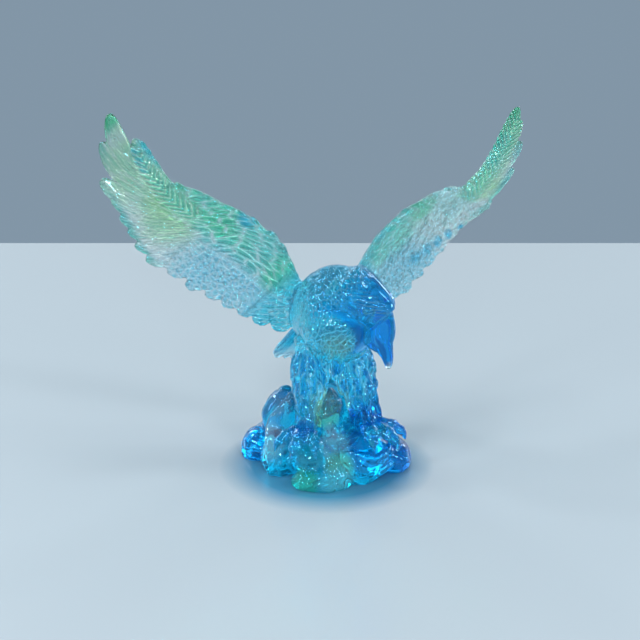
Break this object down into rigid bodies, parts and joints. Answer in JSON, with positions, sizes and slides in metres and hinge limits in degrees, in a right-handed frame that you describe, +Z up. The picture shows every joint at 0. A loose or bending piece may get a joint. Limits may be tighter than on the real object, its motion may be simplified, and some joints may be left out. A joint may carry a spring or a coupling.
{
  "type": "crystal eagle statue",
  "caption": "Eagle with raised wings on a craggy rock, looking down to its left, cast in one piece of tinted clear crystal.",
  "frame": {"origin": "middle of the rock's flat underside", "axes": "+Z up, +X along the wing span towards the eagle's left wing, -Y the side the eagle faces"},
  "size_m": [0.2025, 0.1148, 0.1707],
  "materials": {
    "crystal": "polished cast crystal, tinted blue at the base and head, green and clear along the wings"
  },
  "bodies": {
    "root": {"crystal_eagle": "crystal"}
  },
  "joints": []
}
